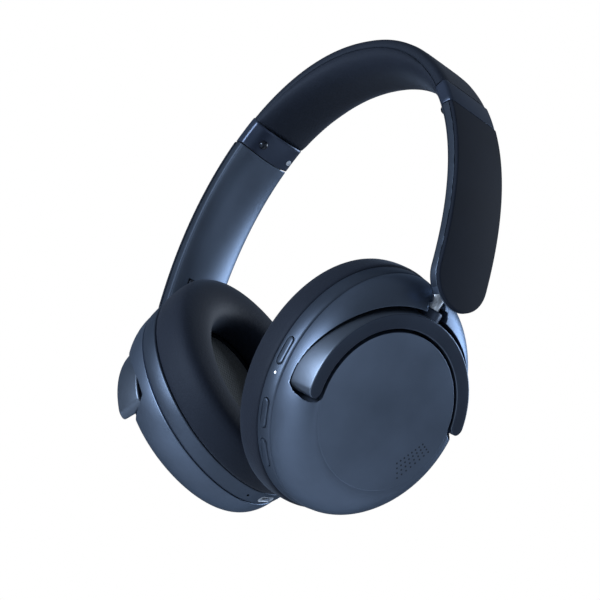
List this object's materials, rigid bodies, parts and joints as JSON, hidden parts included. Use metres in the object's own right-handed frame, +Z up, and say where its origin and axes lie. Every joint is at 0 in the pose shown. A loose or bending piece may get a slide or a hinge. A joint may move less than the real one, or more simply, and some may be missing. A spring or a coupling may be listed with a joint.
{
  "type": "over-ear headphones",
  "caption": "Wireless over-ear headphones with a padded headband, hinged arms with sliding carriages, ring yokes and swivelling, tilting oval ear cups.",
  "frame": {"origin": "centre of the footprint of the whole object, at the height of its lowest point", "axes": "+X towards the wearer's right, +Y towards the wearer's front, +Z up through the crown of the headband"},
  "size_m": [0.1602, 0.0824, 0.202],
  "materials": {
    "satin_navy": "satin metallic midnight blue",
    "matte_navy": "matte midnight blue",
    "gloss_navy": "gloss blue",
    "pad_leather": "soft synthetic leather, fine grain",
    "cover_leather": "soft synthetic leather, light sheen",
    "spring_steel": "rolled",
    "bright_steel": "polished",
    "dark_plastic": "moulded",
    "film": "thin moulded film",
    "board_green": "solder mask",
    "ear_cloth": "fine open weave",
    "battery_foil": "foil pouch",
    "lens_white": "translucent white"
  },
  "bodies": {
    "headband": {"headband_cover": "cover_leather", "headband_spring": "spring_steel", "headband_carrier": "dark_plastic", "headband_cushion": "pad_leather", "right_bracket": "gloss_navy", "right_bracket_screw": "bright_steel", "right_stop_peg": "bright_steel", "left_bracket": "gloss_navy", "left_bracket_screw": "bright_steel", "left_stop_peg": "bright_steel"},
    "right_arm": {"right_arm_shell": "satin_navy", "right_arm_plate": "matte_navy", "right_hinge_pin": "bright_steel"},
    "right_slider": {"right_carriage": "dark_plastic", "right_slider_strip": "spring_steel"},
    "right_yoke_body": {"right_yoke": "matte_navy", "right_swivel_stem": "bright_steel", "right_rear_pivot_pin": "bright_steel", "right_front_pivot_pin": "bright_steel"},
    "right_cup": {"right_housing": "satin_navy", "right_mid_frame": "satin_navy", "right_baffle": "dark_plastic", "right_driver_frame": "dark_plastic", "right_driver_diaphragm": "film", "right_circuit_board": "board_green", "right_microphone": "bright_steel", "right_cushion_ring": "dark_plastic", "right_driver_cloth": "ear_cloth", "right_ear_cushion": "pad_leather", "right_status_lens": "lens_white"},
    "left_arm": {"left_arm_shell": "satin_navy", "left_arm_plate": "matte_navy", "left_hinge_pin": "bright_steel"},
    "left_slider": {"left_carriage": "dark_plastic", "left_slider_strip": "spring_steel"},
    "left_yoke_body": {"left_yoke": "matte_navy", "left_swivel_stem": "bright_steel", "left_rear_pivot_pin": "bright_steel", "left_front_pivot_pin": "bright_steel"},
    "left_cup": {"left_housing": "satin_navy", "left_mid_frame": "satin_navy", "left_baffle": "dark_plastic", "left_driver_frame": "dark_plastic", "left_driver_diaphragm": "film", "left_circuit_board": "board_green", "left_microphone": "bright_steel", "left_cushion_ring": "dark_plastic", "left_driver_cloth": "ear_cloth", "left_ear_cushion": "pad_leather", "left_battery": "battery_foil", "left_usb_port": "bright_steel", "left_audio_jack": "bright_steel"},
    "power_button": {"right_power_button": "satin_navy"},
    "volume_up_button": {"right_volume_up_button": "satin_navy"},
    "volume_down_button": {"right_volume_down_button": "satin_navy"}
  },
  "joints": [
    {"name": "right_spread", "type": "hinge", "parent": "headband", "child": "right_arm", "pos_m": [0.06238, 0, 0.15393], "axis": [0, -1, 0], "range_deg": [0, 15], "stiffness_Nm_per_rad": 2.2},
    {"name": "right_extend", "type": "slide", "parent": "right_arm", "child": "right_slider", "axis": [0, 0, -1], "range_m": [0, 0.025]},
    {"name": "right_swivel", "type": "hinge", "parent": "right_slider", "child": "right_yoke_body", "pos_m": [0.07178, 0, 0.09232], "axis": [-0.3817, 0, -0.9243], "range_deg": [-12, 22]},
    {"name": "right_tilt", "type": "hinge", "parent": "right_yoke_body", "child": "right_cup", "pos_m": [0.0542, 0, 0.04765], "axis": [0, 1, 0], "range_deg": [-8, 4]},
    {"name": "left_spread", "type": "hinge", "parent": "headband", "child": "left_arm", "pos_m": [-0.06238, 0, 0.15393], "axis": [0, 1, 0], "range_deg": [0, 15], "stiffness_Nm_per_rad": 2.2},
    {"name": "left_extend", "type": "slide", "parent": "left_arm", "child": "left_slider", "axis": [0, 0, -1], "range_m": [0, 0.025]},
    {"name": "left_swivel", "type": "hinge", "parent": "left_slider", "child": "left_yoke_body", "pos_m": [-0.07178, 0, 0.09232], "axis": [-0.3817, 0, 0.9243], "range_deg": [-10, 10]},
    {"name": "left_tilt", "type": "hinge", "parent": "left_yoke_body", "child": "left_cup", "pos_m": [-0.0542, 0, 0.04765], "axis": [0, -1, 0], "range_deg": [-18, 0]},
    {"name": "power_press", "type": "slide", "parent": "right_cup", "child": "power_button", "axis": [0.0132, 0.9994, 0.0319], "range_m": [0, 0.0006], "stiffness_N_per_m": 1200},
    {"name": "volume_up_press", "type": "slide", "parent": "right_cup", "child": "volume_up_button", "axis": [0.1743, 0.8896, 0.4222], "range_m": [0, 0.0006], "stiffness_N_per_m": 1200},
    {"name": "volume_down_press", "type": "slide", "parent": "right_cup", "child": "volume_down_button", "axis": [0.2771, 0.6877, 0.671], "range_m": [0, 0.0006], "stiffness_N_per_m": 1200}
  ]
}
